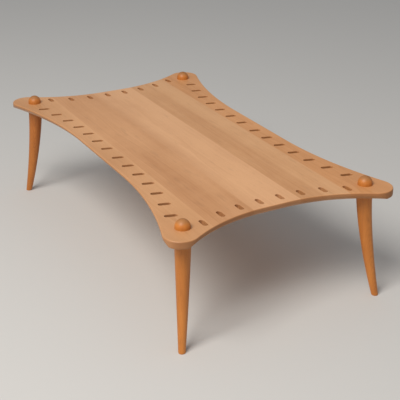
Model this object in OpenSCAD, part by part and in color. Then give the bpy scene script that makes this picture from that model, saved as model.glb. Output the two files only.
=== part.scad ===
// Low table with a slotted, hide-shaped top on four sabre legs.
// +X runs along the table, +Y across it, +Z up. The origin is on the floor,
// under the middle of the top.

/* [Top] */
// Width across the table between the middles of the two hollow long edges
waist_width = 650; // [620:2:700]
// Length of the table between the middles of the two hollow short edges
waist_length = 1262; // [1180:2:1400]
// Straight run in the middle of each long edge, before it sweeps out
long_straight = 364; // [240:4:480]
// Straight run in the middle of each short edge
short_straight = 84; // [40:4:120]
// Radius of the round lobe at each corner
lobe_radius = 57; // [54:1:66]
// How far a lobe's centre lies outside its leg's centre, along the table
lobe_offset_along = 29; // [20:1:32]
// How far a lobe's centre lies outside its leg's centre, across the table
lobe_offset_across = 20; // [14:1:32]
// Thickness of the boards
top_thickness = 25; // [22:0.5:28]
// Height of the top face above the floor
top_height = 392; // [342:2:450]
// Size of the 45 degree bevel cut under the long edges
long_bevel = 18; // [6:1:20]
// Size of the 45 degree bevel cut under the short edges
short_bevel = 13; // [6:1:20]

/* [Boards] */
// Width of the board in the middle
middle_board_width = 170; // [150:1:186]
// Width of the board on each side of the middle one
inner_board_width = 163; // [150:1:168]

/* [Slots] */
// Slots along each long edge
long_slot_count = 14; // [2:2:14]
// Distance between neighbouring slots along a long edge
long_slot_pitch = 83; // [70:1:84]
// Gap between the two slots nearest the middle of a long edge
long_slot_middle_gap = 94; // [70:1:96]
// Slots along each short edge
short_slot_count = 8; // [2:2:8]
// Distance between neighbouring slots along a short edge
short_slot_pitch = 75; // [60:1:76]
// Length of a slot, end to end
slot_length = 41; // [30:1:44]
// Width of a slot
slot_width = 16; // [8:0.5:17]
// Distance from the edge to the middle of a slot on the long edges
long_slot_inset = 49; // [44:1:52]
// Distance from the edge to the middle of a slot on the short edges
short_slot_inset = 45; // [38:1:54]
// Turn of the long edges' slots away from square across the table
long_slot_turn = 15; // [0:1:20]

/* [Legs] */
// Distance between leg centres along the table
leg_spacing_x = 1270; // [1230:2:1300]
// Distance between leg centres across the table
leg_spacing_y = 664; // [650:2:690]
// Diameter of the round tenon that goes through the top
tenon_diameter = 48; // [42:0.5:50]
// Play between tenon and bore, on the diameter
tenon_play = 0.2; // [0.1:0.1:0.4]
// Straight stretch of tenon that shows above the top, under the dome
tenon_collar = 5; // [1:0.5:8]
// Diameter of the leg at the shoulder under the top
shoulder_diameter = 53; // [51:0.5:58]
// Diameter of the sole
sole_diameter = 23; // [20:0.5:30]
// How far the sole stands outside the leg's top
sweep = 64; // [10:1:70]
// Direction of the sweep, measured from the table's length
sweep_direction = 32; // [25:1:50]
// How late the sweep comes: 1 is a straight rake, 2 a parabola
sweep_power = 1.5; // [1.2:0.1:2.4]

/* [Hidden] */

leg_x = leg_spacing_x / 2;
leg_y = leg_spacing_y / 2;
lobe_x = leg_x + lobe_offset_along;
lobe_y = leg_y + lobe_offset_across;
waist_x = waist_length / 2;
waist_y = waist_width / 2;
top_underside = top_height - top_thickness;
inner_joint = middle_board_width / 2;
outer_joint = inner_joint + inner_board_width;
outside = lobe_x + lobe_radius + 10;

// Radius of the hollow arc that leaves a straight edge at (run, waist) and
// touches the round lobe centred at (along, across).
function hollow_radius(run, waist, along, across) =
    ((along - run) ^ 2 + (across - waist) ^ 2 - lobe_radius ^ 2)
    / (2 * (lobe_radius + across - waist));

long_run = long_straight / 2;
short_run = short_straight / 2;
long_hollow = hollow_radius(long_run, waist_y, lobe_x, lobe_y);
short_hollow = hollow_radius(short_run, waist_x, lobe_y, lobe_x);

// Point where a hollow arc, centred at c, touches the lobe.
function touch_point(c) =
    let (lobe = [lobe_x, lobe_y], gap = c - lobe)
    lobe + gap * lobe_radius / norm(gap);

long_centre = [long_run, waist_y + long_hollow];
short_centre = [waist_x + short_hollow, short_run];

// Distance from the table's middle line to an edge, a given way along it.
function edge_at(along, run, waist, radius) =
    let (past = max(0, abs(along) - run))
    waist + radius - sqrt(radius ^ 2 - past ^ 2);

// Places of the slots along one edge, from one end to the other.
function slot_places(count, pitch, middle_gap) = [
    for (side = [-1, 1], i = [0 : count / 2 - 1]) side * (middle_gap / 2 + i * pitch)
];

module four_corners() {
    for (sx = [-1, 1], sy = [-1, 1]) scale([sx, sy]) children();
}

// The hollows are cut this much too deep, so that their arcs cross the
// straight edges and the lobes instead of only touching them.
BITE = 0.05;

// The plan of the top: straight middles, hollow sweeps and round lobes.
module top_outline() {
    difference() {
        four_corners() {
            polygon([
                [0, 0], [waist_x, 0], [waist_x, short_run], touch_point(short_centre),
                [lobe_x, lobe_y], touch_point(long_centre), [long_run, waist_y], [0, waist_y],
            ]);
            translate([lobe_x, lobe_y]) circle(r = lobe_radius, $fn = 96);
        }
        four_corners() {
            translate(long_centre) circle(r = long_hollow + BITE, $fn = 480);
            translate(short_centre) circle(r = short_hollow + BITE, $fn = 480);
        }
    }
}

// What the bevels take away under the hollow edges. They run out into the lobes,
// which keep their full thickness over the legs.
module straight_bevel(size, length) {
    rotate([90, 0, 90]) linear_extrude(length, center = true)
        polygon([[-size - 1, -1], [0, size], [outside, size], [outside, -1]]);
}

module hollow_bevel(size, radius) {
    translate([0, 0, -1])
        cylinder(r1 = radius + BITE + size + 1, r2 = radius + BITE, h = size + 1, $fn = 480);
}

module bevel_waste() {
    for (turn = [0, 180]) rotate(turn) {
        translate([0, waist_y]) straight_bevel(long_bevel, long_straight);
        translate([waist_x, 0]) rotate(-90) straight_bevel(short_bevel, short_straight);
    }
    for (sx = [-1, 1], sy = [-1, 1]) {
        translate([sx * long_centre.x, sy * long_centre.y]) hollow_bevel(long_bevel, long_hollow);
        translate([sx * short_centre.x, sy * short_centre.y]) hollow_bevel(short_bevel, short_hollow);
    }
}

module slot(turn) {
    end = (slot_length - slot_width) / 2;
    rotate(turn) {
        square([2 * end, slot_width], center = true);
        for (side = [-1, 1]) translate([side * end, 0]) circle(d = slot_width, $fn = 32);
    }
}

module slots() {
    for (x = slot_places(long_slot_count, long_slot_pitch, long_slot_middle_gap), side = [-1, 1])
        translate([x, side * (edge_at(x, long_run, waist_y, long_hollow) - long_slot_inset)])
            slot(90 - long_slot_turn);
    for (y = slot_places(short_slot_count, short_slot_pitch, short_slot_pitch), side = [-1, 1])
        translate([side * (edge_at(y, short_run, waist_x, short_hollow) - short_slot_inset), y])
            slot(0);
}

// One board of the glued top: the part of the plan between two joint lines.
module board(from, to) {
    translate([0, 0, top_underside]) difference() {
        linear_extrude(top_thickness) difference() {
            intersection() {
                top_outline();
                translate([-outside, from]) square([2 * outside, to - from]);
            }
            slots();
            four_corners() translate([leg_x, leg_y]) circle(d = tenon_diameter + tenon_play, $fn = 96);
        }
        bevel_waste();
    }
}

module board_front() { color("burlywood") board(-outside, -outer_joint); }
module board_inner_front() { color("tan") board(-outer_joint, -inner_joint); }
module board_middle() { color("burlywood") board(-inner_joint, inner_joint); }
module board_inner_back() { color("tan") board(inner_joint, outer_joint); }
module board_back() { color("burlywood") board(outer_joint, outside); }

LEG_SIDES = 32;
LEG_RINGS = 20;

// Sideways offset of the leg's centre line and its tilt, at height z.
function leg_offset(z) = sweep * (1 - z / top_underside) ^ sweep_power;
function leg_tilt(z) =
    atan(sweep_power * sweep / top_underside * (1 - z / top_underside) ^ (sweep_power - 1));

// The leg tapers a little more slowly near its top than near its sole.
function leg_radius(z) =
    let (up = z / top_underside)
    (sole_diameter + (shoulder_diameter - sole_diameter) * (1.25 * up - 0.25 * up ^ 2)) / 2;

// One ring of the leg. The sole and the shoulder are level, the rest square
// to the centre line.
function leg_ring(z, tilt) = [
    for (s = [0 : LEG_SIDES - 1])
        let (a = 360 * s / LEG_SIDES, r = leg_radius(z))
        [leg_offset(z) + r * cos(a) * cos(tilt), r * sin(a), z + r * cos(a) * sin(tilt)]
];

// Below the shoulder a leg is a round taper that curves outward to its sole.
module leg_taper() {
    last = LEG_RINGS - 1;
    rings = [
        for (i = [0 : last])
            let (z = top_underside * i / last, fade = min(1, i / 3))
            leg_ring(z, leg_tilt(z) * fade)
    ];
    points = [for (ring = rings) each ring];
    sides = [
        for (i = [0 : last - 1], s = [0 : LEG_SIDES - 1])
            let (a = i * LEG_SIDES + s, b = i * LEG_SIDES + (s + 1) % LEG_SIDES)
            each [[a, a + LEG_SIDES, b], [b, a + LEG_SIDES, b + LEG_SIDES]]
    ];
    sole = [for (s = [0 : LEG_SIDES - 1]) s];
    shoulder = [for (s = [LEG_SIDES - 1 : -1 : 0]) last * LEG_SIDES + s];
    polyhedron(points, concat([sole], [shoulder], sides), convexity = 4);
}

// The through tenon, which stands proud of the top and ends in a dome.
module domed_tenon() {
    r = tenon_diameter / 2;
    shaft = top_thickness + tenon_collar;
    translate([0, 0, top_underside]) {
        cylinder(r = r, h = shaft, $fn = 96);
        translate([0, 0, shaft]) intersection() {
            sphere(r = r, $fn = 96);
            cylinder(r = r + 1, h = r + 1, $fn = 96);
        }
    }
}

module leg(sx, sy) {
    color("peru") translate([sx * leg_x, sy * leg_y, 0])
        rotate(atan2(sy * sin(sweep_direction), sx * cos(sweep_direction))) {
            leg_taper();
            domed_tenon();
        }
}

module leg_front_left() { leg(-1, -1); }
module leg_front_right() { leg(1, -1); }
module leg_back_left() { leg(-1, 1); }
module leg_back_right() { leg(1, 1); }

board_front();
board_inner_front();
board_middle();
board_inner_back();
board_back();
leg_front_left();
leg_front_right();
leg_back_left();
leg_back_right();
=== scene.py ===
import math

import bmesh
import bpy
from mathutils import Matrix, Vector


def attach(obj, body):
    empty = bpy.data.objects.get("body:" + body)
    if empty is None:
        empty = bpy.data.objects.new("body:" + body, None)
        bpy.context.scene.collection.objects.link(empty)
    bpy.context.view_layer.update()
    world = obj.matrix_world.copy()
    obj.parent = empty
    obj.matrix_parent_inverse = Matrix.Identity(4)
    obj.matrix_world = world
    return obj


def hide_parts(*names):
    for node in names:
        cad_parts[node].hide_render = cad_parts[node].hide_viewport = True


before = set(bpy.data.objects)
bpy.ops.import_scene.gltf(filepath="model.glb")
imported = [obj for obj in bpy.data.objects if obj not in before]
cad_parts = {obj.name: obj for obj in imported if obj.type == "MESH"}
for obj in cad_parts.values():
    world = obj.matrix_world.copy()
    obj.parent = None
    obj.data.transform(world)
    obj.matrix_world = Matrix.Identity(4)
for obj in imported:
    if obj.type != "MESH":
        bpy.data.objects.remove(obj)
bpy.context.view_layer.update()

# The glued top: five solid boards of pale hardwood, joined edge to edge, then sawn to one
# outline like a stretched hide. Straight middles run into hollow sweeps and round lobes. A
# wide bevel under the hollow edges thins them and runs out where the lobes meet the legs.
waist_x = 0.631
waist_y = 0.325
long_run = 0.182
short_run = 0.042
leg_x = 0.635
leg_y = 0.332
lobe_past_leg_x = 0.029
lobe_past_leg_y = 0.020
lobe_radius = 0.0569
top_height = 0.392
top_thickness = 0.025
long_bevel = 0.018
short_bevel = 0.013
bevel_softness = 0.0012
arris = 0.004
seam = 5e-5

lobe = Vector((leg_x + lobe_past_leg_x, leg_y + lobe_past_leg_y, 0))


def hollow_radius(run, waist, along, across):
    """Radius of the sweep that leaves a straight edge at run and touches the lobe."""
    gap = (along - run) ** 2 + (across - waist) ** 2 - lobe_radius ** 2
    return gap / (2 * (lobe_radius + across - waist))


long_hollow = hollow_radius(long_run, waist_y, lobe.x, lobe.y)
short_hollow = hollow_radius(short_run, waist_x, lobe.y, lobe.x)
long_centre = Vector((long_run, waist_y + long_hollow, 0))
short_centre = Vector((waist_x + short_hollow, short_run, 0))


def saw_round(shape, end, centre, degrees, cuts):
    """Carries an outline round an arc and gives the vertex where the arc ends."""
    arc = bmesh.ops.spin(shape, geom=[end], cent=centre, axis=(0, 0, 1),
                         angle=math.radians(degrees), steps=cuts)
    return next(part for part in arc["geom_last"] if isinstance(part, bmesh.types.BMVert))


def saw_straight(shape, end, way):
    """Carries an outline straight on and gives the vertex where the line ends."""
    line = bmesh.ops.extrude_vert_indiv(shape, verts=[end])
    bmesh.ops.translate(shape, verts=line["verts"], vec=way)
    return line["verts"][0]


def meeting(centre, hollow, lobe_size, side):
    """Where a hollow sweep of a given radius runs into a lobe of a given size."""
    way = centre - lobe
    share = (lobe_size ** 2 + way.length ** 2 - hollow ** 2) / (2 * lobe_size * way.length)
    angle = math.atan2(way.y, way.x) + side * math.acos(min(1, share))
    return lobe + lobe_size * Vector((math.cos(angle), math.sin(angle), 0))


def bearing(centre, point):
    """Compass of a point seen from a centre, in degrees."""
    return math.degrees(math.atan2(point.y - centre.y, point.x - centre.x))


def saw_outline(long_inset, short_inset, lobe_inset, height):
    """The top's outline at a height, pulled in on its long edges, short edges and lobes."""
    lobe_size = lobe_radius - lobe_inset
    into = meeting(long_centre, long_hollow + long_inset, lobe_size, -1)
    out = meeting(short_centre, short_hollow + short_inset, lobe_size, 1)
    plan = bmesh.new()
    end = plan.verts.new((0, waist_y - long_inset, 0))
    end = saw_straight(plan, end, (long_run, 0, 0))
    end = saw_round(plan, end, long_centre, bearing(long_centre, into) + 90, 44)
    end = saw_round(plan, end, lobe, bearing(lobe, out) - bearing(lobe, into), 40)
    end = saw_round(plan, end, short_centre, 180 - bearing(short_centre, out), 30)
    saw_straight(plan, end, (0, -short_run, 0))
    for axis in "XY":
        bmesh.ops.mirror(plan, geom=plan.verts[:] + plan.edges[:], axis=axis, merge_dist=seam)
    bmesh.ops.remove_doubles(plan, verts=plan.verts, dist=seam)
    bmesh.ops.translate(plan, verts=plan.verts, vec=(0, 0, height))
    return plan


def face_outward(solid):
    """Turns the faces of a closed solid so that they all look outward."""
    bmesh.ops.recalc_face_normals(solid, faces=solid.faces)
    if solid.calc_volume(signed=True) < 0:
        bmesh.ops.reverse_faces(solid, faces=solid.faces)


def add_to(shape, part):
    """Adds one bmesh to another."""
    mesh = bpy.data.meshes.new("part")
    part.to_mesh(mesh)
    shape.from_mesh(mesh)
    bpy.data.meshes.remove(mesh)


def bevel_inset(depth, size):
    """How far a bevel of a size has come in at a depth, with a soft upper corner."""
    past = depth - top_thickness + size
    return (past + math.hypot(past, bevel_softness)) / 2


def edge_profile():
    """Level by level, the depth and the insets of the long edges, short edges and lobes."""
    for step in (0, 22, 45, 68, 90):
        pulled = arris * (1 - math.sin(math.radians(step)))
        yield arris * (1 - math.cos(math.radians(step))), pulled, pulled, pulled
    sawn = (0.0052, 0.0061, 0.0068, 0.0075, 0.0085, 0.0102,
            0.0112, 0.0118, 0.0125, 0.0135, 0.0180, 0.0222)
    lower_rim = ((0.0238, 0.0006), (0.0247, 0.0016), (0.0250, 0.0030))
    for depth, eased in [(depth, 0) for depth in sawn] + list(lower_rim):
        yield (depth, bevel_inset(depth, long_bevel) + eased,
               bevel_inset(depth, short_bevel) + eased, eased)


def shape_top():
    """The whole top as one closed solid, before it is ripped into its boards."""
    top = bmesh.new()
    rings = []
    for depth, long_inset, short_inset, lobe_inset in edge_profile():
        known = len(top.edges)
        add_to(top, saw_outline(long_inset, short_inset, lobe_inset, top_height - depth))
        top.edges.ensure_lookup_table()
        rings.append(top.edges[known:])
    for ring in (rings[0], rings[-1]):
        bmesh.ops.contextual_create(top, geom=ring)
    for above, below in zip(rings, rings[1:]):
        bmesh.ops.bridge_loops(top, edges=above + below)
    face_outward(top)
    return top


def rip_board(top, low, high):
    """One board of the top, between two glue lines."""
    board = top.copy()
    for line, side in ((low, -1), (high, 1)):
        cut = bmesh.ops.bisect_plane(board, dist=1e-6, plane_co=(0, line, 0),
                                     plane_no=(0, side, 0), clear_outer=True,
                                     geom=board.verts[:] + board.edges[:] + board.faces[:])
        edges = [part for part in cut["geom_cut"] if isinstance(part, bmesh.types.BMEdge)]
        bmesh.ops.holes_fill(board, edges=edges, sides=0)
    face_outward(board)
    return board


# The slots: a stopped row of round-ended holes along every edge, routed through the boards
# and eased by hand. The long rows lean from square and the short rows lie lengthwise. The
# same bit bores the four corners for the tenons of the legs.
slot_half_length = 0.0205
slot_half_width = 0.008
slot_ease = 0.0016
slot_lean = 15
long_slot_pitch = 0.083
long_slot_gap = 0.094
long_slot_inset = 0.049
long_slots_a_side = 7
short_slot_pitch = 0.075
short_slot_inset = 0.045
short_slots_a_side = 4
bore_radius = 0.0241
bore_ease = 0.0009
bit_runs_past = 0.001


def cut_round_ended(half_length, half_width):
    """The plan of a round-ended slot lying along X, or of a round bore, as one flat face."""
    plan = bmesh.new()
    straight = half_length - half_width
    first = plan.verts.new((straight, -half_width, 0))
    end = saw_round(plan, first, (straight, 0, 0), 180, 14)
    if straight:
        end = saw_straight(plan, end, (-2 * straight, 0, 0))
    saw_round(plan, end, (-straight, 0, 0), 180, 14)
    bmesh.ops.remove_doubles(plan, verts=plan.verts, dist=1e-6)
    bmesh.ops.contextual_create(plan, geom=plan.edges)
    return plan


def draw_out(shape, flat, stations):
    """Draws the flat face of a plan through a row of placings into a closed solid."""
    skin = flat.copy()
    bmesh.ops.transform(skin, matrix=stations[0], verts=skin.verts)
    end = skin.faces[:]
    for last, place in zip(stations, stations[1:]):
        drawn = bmesh.ops.extrude_face_region(skin, geom=end)["geom"]
        moved = [part for part in drawn if isinstance(part, bmesh.types.BMVert)]
        bmesh.ops.transform(skin, matrix=place @ last.inverted(), verts=moved)
        if last is not stations[0]:
            bmesh.ops.delete(skin, geom=end, context="FACES_ONLY")
        end = [part for part in drawn if isinstance(part, bmesh.types.BMFace)]
    face_outward(skin)
    add_to(shape, skin)


def plunge(bit, half_length, half_width, ease, place):
    """Adds to bit a cutter that goes through the top, with its rims rounded over by ease."""
    levels = []
    for step in (14, 40, 65, 90):
        wider = ease * (1 - math.sin(math.radians(step)))
        deep = ease * (1 - math.cos(math.radians(step))) if levels else -bit_runs_past
        levels.append((top_thickness / 2 - deep, wider))
    levels += [(-height, wider) for height, wider in reversed(levels)]
    middle = top_height - top_thickness / 2
    stations = [
        place @ Matrix.Translation((0, 0, middle + height))
        @ Matrix.Diagonal((1 + wider / half_length, 1 + wider / half_width, 1, 1))
        for height, wider in levels
    ]
    draw_out(bit, cut_round_ended(half_length, half_width), stations)


def edge_at(along, run, waist, radius):
    """Distance from the table's middle line to its edge, a given way along it."""
    past = max(0, abs(along) - run)
    return waist + radius - math.sqrt(radius ** 2 - past ** 2)


def slot_layout():
    """Where each slot is and how far it is turned from the table's length."""
    for side in (-1, 1):
        for end in (-1, 1):
            for i in range(long_slots_a_side):
                x = end * (long_slot_gap / 2 + long_slot_pitch * i)
                edge = edge_at(x, long_run, waist_y, long_hollow)
                yield x, side * (edge - long_slot_inset), 90 - slot_lean
            for i in range(short_slots_a_side):
                y = end * (short_slot_pitch / 2 + short_slot_pitch * i)
                edge = edge_at(y, short_run, waist_x, short_hollow)
                yield side * (edge - short_slot_inset), y, 0


def rout_bit(low, high):
    """One cutter for all that is routed or bored through the board between low and high."""
    bit = bmesh.new()
    for x, y, turn in slot_layout():
        if low < y < high:
            place = Matrix.Translation((x, y, 0)) @ Matrix.Rotation(math.radians(turn), 4, "Z")
            plunge(bit, slot_half_length, slot_half_width, slot_ease, place)
    for x in (-leg_x, leg_x):
        for y in (-leg_y, leg_y):
            if low < y < high:
                plunge(bit, bore_radius, bore_radius, bore_ease, Matrix.Translation((x, y, 0)))
    return bit


# The finish of the wood: growth rings round a heart that lies outside the board, so that long
# faces show slow arches and cut ends show arcs, with broad streaks, fibres and open pores.
class Grain:
    """Something that varies through the wood: a node socket that can be used in sums."""

    def __init__(self, socket):
        self.socket = socket

    def node(self, kind, settings, inputs, output=0):
        """Adds a node of a kind, sets it up, feeds its inputs and gives one output."""
        made = self.socket.id_data.nodes.new("ShaderNode" + kind)
        for name, value in settings.items():
            if name == "stops":
                for stop, (at, colour) in zip(made.color_ramp.elements, value):
                    stop.position, stop.color = at, colour
            else:
                setattr(made, name, value)
        for name, value in inputs.items():
            entry = next(s for s in made.inputs if s.identifier == name)
            if isinstance(value, Grain):
                self.socket.id_data.links.new(value.socket, entry)
            else:
                entry.default_value = value
        return Grain(made.outputs[output])

    def sum(self, operation, *terms):
        """What an operation makes of one, two or three values."""
        names = ("Value", "Value_001", "Value_002")
        return self.node("Math", {"operation": operation}, dict(zip(names, terms)))

    def __add__(self, other):
        return self.sum("ADD", self, other)

    __radd__ = __add__

    def __sub__(self, other):
        return self.sum("SUBTRACT", self, other)

    def __rsub__(self, other):
        return self.sum("SUBTRACT", other, self)

    def __mul__(self, other):
        return self.sum("MULTIPLY", self, other)

    __rmul__ = __mul__

    def __truediv__(self, other):
        return self.sum("DIVIDE", self, other)

    def rise(self, low, high):
        """0 below low, 1 above high, with a soft step between."""
        return self.node("MapRange", {"interpolation_type": "SMOOTHSTEP"},
                         {"Value": self, "From Min": low, "From Max": high})

    def stretched(self, along, across):
        """A place in the wood, drawn out along the fibres."""
        return self.node("Mapping", {}, {"Vector": self, "Scale": (along, across, across)})

    def cloud(self, detail, seed, rough=0.5):
        """Soft blotches from 0 to 1 at this place in the wood."""
        return self.node("TexNoise", {"noise_dimensions": "4D"},
                         {"Vector": self, "W": seed, "Scale": 1.0, "Detail": detail,
                          "Roughness": rough})

    def toward(self, colour, amount):
        """This colour carried toward another by amount."""
        return self.node("Mix", {"data_type": "RGBA"},
                         {"Factor_Float": amount, "A_Color": self, "B_Color": colour}, 2)

    def times(self, amount):
        """This colour made lighter or darker by amount."""
        return self.node("VectorMath", {"operation": "SCALE"},
                         {"Vector": self, "Scale": amount})


# The brown of painted shade. The boards' standing faces, such as sawn edges, bevels and slot
# walls, are darkened toward it.
painted_shade_brown = (0.29, 0.100, 0.026, 1)


def oiled_wood(name, turn, heart, seed, light, dark, cut, ring, stripes, side_shade=0.0,
               sapwood=None):
    """Satin oiled hardwood, of which cut is the colour that its end grain leans to. turn
    brings the fibres onto X and heart is where the tree's middle ran. ring is the width of a
    year's growth and stripes the strength of the bands. side_shade, the amount after stripes,
    is how much painted shade darkens the faces that stand up from level, such as sawn edges,
    bevels and slot walls; sapwood is the stretch across the board in which it pales."""
    finish = bpy.data.materials.new(name)
    finish.use_nodes = True
    tree = finish.node_tree
    surface = tree.nodes["Principled BSDF"]
    here = Grain(tree.nodes.new("ShaderNodeTexCoord").outputs["Object"])
    lie = here.node("Mapping", {}, {"Vector": here, "Location": heart, "Rotation": turn})

    drift = lie.stretched(1.1, 6).cloud(2, seed) - 0.5
    ripple = lie.stretched(5, 34).cloud(2, seed + 3) - 0.5
    ray = lie.node("VectorMath", {"operation": "MULTIPLY"},
                   {"Vector": lie, "Vector_001": (0, 1, 1)})
    reach = ray.node("VectorMath", {"operation": "LENGTH"}, {"Vector": ray}, 1)
    years = (reach + drift * 0.030 + ripple * 0.0035) / ring
    year = years.sum("FLOOR", years)
    season = years.sum("FRACT", years)
    late = season.rise(0.35, 0.93) * (1 - season.rise(0.93, 1.0))
    good_year = year.node("TexWhiteNoise", {"noise_dimensions": "1D"}, {"W": year + seed})

    patch = lie.stretched(2.2, 7).cloud(2, seed + 5)
    streak = lie.stretched(0.8, 15).cloud(3, seed + 7)
    band = lie.stretched(1.6, 60).cloud(2, seed + 11)
    fibre = lie.stretched(14, 620).cloud(2, seed + 17, 0.6)
    pore = lie.stretched(120, 2300).cloud(1, seed + 23).rise(0.60, 0.70)
    fleck = lie.stretched(11, 70).cloud(1, seed + 37).rise(0.62, 0.72)
    shimmer = lie.stretched(22, 9).cloud(1, seed + 29)

    faces = here.node("NewGeometry", {}, {}, "Normal")
    lift = faces.node("SeparateXYZ", {}, {"Vector": faces}, 2)
    along = faces.node("VectorRotate", {"rotation_type": "EULER_XYZ"},
                       {"Vector": faces, "Rotation": turn})
    ends = along.node("SeparateXYZ", {}, {"Vector": along}, 0)
    end_grain = ends.sum("ABSOLUTE", ends).rise(0.35, 0.90)
    level = lift.sum("ABSOLUTE", lift)
    rubbed = level.rise(0.08, 0.45) * (1 - level.rise(0.80, 0.99))

    tone = (0.36 + (patch - 0.5) * 1.20 + (streak - 0.5) * 0.80 + (band - 0.5) * stripes
            + (good_year - 0.5) * 0.12 + late * 0.16 + (fibre - 0.5) * 0.34
            + (shimmer - 0.5) * 0.20)
    if sapwood:
        across = here.node("SeparateXYZ", {}, {"Vector": here}, 1)
        tone = tone - across.rise(*sapwood) * 0.34
    wood = here.node("ValToRGB", {"stops": ((0.0, light), (1.0, dark))}, {"Fac": tone})
    wood = wood.times(1 - pore * 0.16 * (1 - end_grain))
    wood = wood.times(1 - fleck * 0.08)
    wood = wood.toward(cut, end_grain * (0.46 + late * 0.24))
    wood = wood.times(1 + rubbed * 0.07)
    # Painted shade: faces that stand up from level, such as sawn edges, bevels and slot walls,
    # are darkened toward the shade brown. Level faces are not darkened.
    if side_shade:
        wood = wood.toward(painted_shade_brown, (1 - level.rise(0.55, 0.95)) * side_shade)
    tree.links.new(wood.socket, surface.inputs["Base Color"])

    dull = 0.47 + (fibre - 0.5) * 0.10 + pore * 0.12 + end_grain * 0.16 - rubbed * 0.05
    handled = here.stretched(7, 7).cloud(3, seed + 31).rise(0.45, 0.70)
    tree.links.new((dull + handled * 0.05).socket, surface.inputs["Roughness"])
    relief = fibre * 0.35 + late * 0.35 - pore * 0.8
    bump = relief.node("Bump", {}, {"Height": relief, "Strength": 0.35, "Distance": 0.00025})
    tree.links.new(bump.socket, surface.inputs["Normal"])
    surface.inputs["Coat Weight"].default_value = 0.04
    surface.inputs["Coat Roughness"].default_value = 0.28
    return finish


# The five boards themselves. Each is ripped from the sawn top, so that it meets its neighbours
# at the glue lines, then routed and bored. Each has its own heart and colours, three have a
# pale stretch of sapwood, and the fibres run lengthwise in all of them.
lengthwise = (0, 0, 0)
board_ring = 0.0032
board_stripes = 0.30
board_end_grain = (0.27, 0.098, 0.025, 1)
# How strongly painted shade darkens the standing faces. The first amount is for the outer edges
# and bevels, the second for the slot and bore walls.
edge_shade = 0.42
slot_shade = 0.36


def settle(name, mesh, sharp):
    """Gives a finished mesh its object, with soft shading that breaks only at sharp edges."""
    mesh.shade_smooth()
    mesh.set_sharp_from_angle(angle=math.radians(sharp))
    piece = bpy.data.objects.new(name, mesh)
    bpy.context.scene.collection.objects.link(piece)
    return piece


def rout_board(board, bit):
    """Cuts the slots and bores out of a board; their walls take the cutter's material, with its
    painted shade.
    """
    bpy.context.scene.collection.objects.link(bit)
    cut = board.modifiers.new("rout", "BOOLEAN")
    cut.operation, cut.solver, cut.material_mode = "DIFFERENCE", "EXACT", "TRANSFER"
    cut.object = bit
    ready = board.evaluated_get(bpy.context.evaluated_depsgraph_get())
    routed = bpy.data.meshes.new_from_object(ready)
    bpy.data.objects.remove(bit)
    bpy.data.objects.remove(board)
    return routed


boards = (
    ("front", -0.5, -0.248, (0.3, 0.33, -0.43), 2.0, "board_pale",
     (0.67, 0.355, 0.166, 1), (0.46, 0.210, 0.080, 1), (-0.262, -0.240)),
    ("inner_front", -0.248, -0.085, (-0.2, 0.19, -0.30), 13.0, "board_warm",
     (0.66, 0.342, 0.160, 1), (0.45, 0.200, 0.076, 1), None),
    ("middle", -0.085, 0.085, (0.1, 0.02, -0.45), 24.0, "board_pale",
     (0.71, 0.385, 0.190, 1), (0.49, 0.228, 0.096, 1), (-0.085, -0.035)),
    ("inner_back", 0.085, 0.248, (0.4, -0.12, -0.33), 35.0, "board_warm",
     (0.67, 0.36, 0.168, 1), (0.46, 0.200, 0.072, 1), (0.150, 0.185)),
    ("back", 0.248, 0.5, (-0.1, -0.30, -0.29), 46.0, "board_pale",
     (0.70, 0.34, 0.140, 1), (0.48, 0.200, 0.065, 1), None),
)
top = shape_top()
for name, low, high, heart, seed, slot, light, dark, sapwood in boards:
    # Each board gets two copies of its wood. One is for the top's faces and one for the slot
    # and bore walls. They differ only in how much painted shade darkens their standing faces.
    oiled, slot_wall = (
        oiled_wood(finish + name, lengthwise, heart, seed, light, dark, board_end_grain,
                   board_ring, board_stripes, side_shade, sapwood)
        for finish, side_shade in (("oiled_", edge_shade), ("routed_", slot_shade)))
    blank = bpy.data.meshes.new("top_board_" + name)
    rip_board(top, low, high).to_mesh(blank)
    blank.materials.append(oiled)
    bit = bpy.data.meshes.new("bit_" + name)
    rout_bit(low, high).to_mesh(bit)
    bit.materials.append(slot_wall)
    routed = rout_board(settle("blank_" + name, blank, 30),
                        bpy.data.objects.new("bit_" + name, bit))
    board = settle("top_board_" + name, routed, 40)
    soften = board.modifiers.new("even_faces", "WEIGHTED_NORMAL")
    soften.keep_sharp = True
    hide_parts("board_" + name)
    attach(board, "root")

# The legs: one turned and shaped piece each, of a more orange hardwood. The round taper sweeps
# outward to a level sole; above its shoulder a tenon goes through the top and ends in a dome.
top_underside = top_height - top_thickness
sole_diameter = 0.023
sole_ease = 0.0012
shoulder_diameter = 0.053
shoulder_ease = 0.0008
tenon_radius = 0.024
collar = 0.005
sweep = 0.064
sweep_power = 1.5
sweep_direction = math.radians(32)
level_share = 3 / 19
leg_rings = 52
dome_rises = (0, 4, 8, 14, 20, 27, 34, 41, 48, 55, 62, 69, 75, 80, 84, 87, 89)

upright = (0, math.radians(90), 0)
leg_light = (0.60, 0.208, 0.034, 1)
leg_dark = (0.34, 0.088, 0.009, 1)
leg_end_grain = (0.22, 0.126, 0.056, 1)
leg_ring = 0.0027
leg_stripes = 0.80


def leg_station(up):
    """Placing of the leg's round section a share up of the way from floor to shoulder. It
    lies level at the sole and is square to the leg's line from level_share upward."""
    late = 1 - up
    out = sweep * late ** sweep_power
    slope = sweep_power * sweep / top_underside * late ** (sweep_power - 1)
    lean = math.atan(slope) * min(1, up / level_share)
    grown = 1.25 * up - 0.25 * up ** 2
    radius = (sole_diameter + (shoulder_diameter - sole_diameter) * grown) / 2
    return (Matrix.Translation((out, 0, top_underside * up)) @ Matrix.Rotation(-lean, 4, "Y")
            @ Matrix.Diagonal((radius, radius, 1, 1)))


def level_section(height, radius, out=0.0):
    """Placing of a level round section at a height."""
    return Matrix.Translation((out, 0, height)) @ Matrix.Diagonal((radius, radius, 1, 1))


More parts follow.
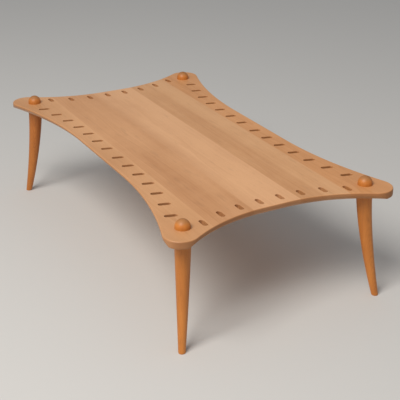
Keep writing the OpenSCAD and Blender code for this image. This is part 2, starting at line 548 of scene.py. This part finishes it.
def turn_leg():
    """The leg's solid, standing at the origin and sweeping toward +X."""
    disc = bmesh.new()
    bmesh.ops.create_circle(disc, cap_ends=True, radius=1, segments=72)
    sole = sole_diameter / 2
    shoulder = shoulder_diameter / 2
    stations = [level_section(0, sole - sole_ease, sweep),
                level_section(0.0004, sole - 0.0004, sweep)]
    stations += [leg_station(up) for up in (0.004, 0.012)]
    stations += [leg_station(0.025 + 0.965 * i / leg_rings) for i in range(leg_rings + 1)]
    stations += [level_section(top_underside - 0.0003, shoulder - 0.0003),
                 level_section(top_underside, shoulder - shoulder_ease),
                 level_section(top_underside, tenon_radius),
                 level_section(top_height, tenon_radius)]
    stations += [
        level_section(top_height + collar + tenon_radius * math.sin(math.radians(rise)),
                      tenon_radius * math.cos(math.radians(rise)))
        for rise in dome_rises
    ]
    leg = bmesh.new()
    draw_out(leg, disc, stations)
    return leg


legs = (
    ("front_left", -1, -1, (0.1, 0.034, 0.052), 61.0),
    ("front_right", 1, -1, (0.3, -0.048, 0.030), 72.0),
    ("back_left", -1, 1, (0.2, 0.055, -0.020), 83.0),
    ("back_right", 1, 1, (0.4, -0.022, -0.058), 94.0),
)
for name, side_x, side_y, heart, seed in legs:
    mesh = bpy.data.meshes.new("sabre_leg_" + name)
    turn_leg().to_mesh(mesh)
    way_out = math.atan2(side_y * math.sin(sweep_direction), side_x * math.cos(sweep_direction))
    mesh.transform(Matrix.Translation((side_x * leg_x, side_y * leg_y, 0))
                   @ Matrix.Rotation(way_out, 4, "Z"))
    middle = (heart[0], -side_y * leg_y + heart[1], side_x * leg_x + heart[2])
    mesh.materials.append(oiled_wood("oiled_leg_" + name, upright, middle, seed, leg_light,
                                     leg_dark, leg_end_grain, leg_ring, leg_stripes))
    leg = settle("sabre_leg_" + name, mesh, 50)
    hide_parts("leg_" + name)
    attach(leg, "root")

# The studio: a plain pale floor, one broad soft light high on the left and an even fill. The
# camera stands off the front right corner, at the height of a standing person's eye.
floor_plan = bmesh.new()
bmesh.ops.create_grid(floor_plan, x_segments=1, y_segments=1, size=14)
floor_mesh = bpy.data.meshes.new("studio_floor")
floor_plan.to_mesh(floor_mesh)
pale = bpy.data.materials.new("studio_pale")
pale.use_nodes = True
paint = pale.node_tree.nodes["Principled BSDF"].inputs
paint["Base Color"].default_value = (0.60, 0.585, 0.56, 1)
paint["Roughness"].default_value = 0.8
floor_mesh.materials.append(pale)
floor = bpy.data.objects.new("studio_floor", floor_mesh)
bpy.context.scene.collection.objects.link(floor)

sky = bpy.data.worlds.new("studio_fill")
sky.use_nodes = True
fill = sky.node_tree.nodes["Background"].inputs
fill["Color"].default_value = (0.93, 0.96, 1, 1)
fill["Strength"].default_value = 0.34
bpy.context.scene.world = sky

softbox = bpy.data.lights.new("softbox", "AREA")
softbox.size = 3.2
softbox.energy = 345
softbox.color = (1, 0.97, 0.93)
lamp = bpy.data.objects.new("softbox", softbox)
lamp.location = (1.9, -3.4, 5.0)
lit_spot = Vector((0, 0, 0.3))
lamp.rotation_euler = (lit_spot - lamp.location).to_track_quat("-Z", "Y").to_euler()
bpy.context.scene.collection.objects.link(lamp)

lens = bpy.data.cameras.new("camera")
lens.sensor_width = 36
lens.lens = 87.16
camera = bpy.data.objects.new("camera", lens)
camera.location = (2.893, -1.501, 1.657)
camera.rotation_euler = (math.radians(65.189), 0, math.radians(61.480))
bpy.context.scene.collection.objects.link(camera)
bpy.context.scene.camera = camera
bpy.context.scene.view_settings.view_transform = "Standard"
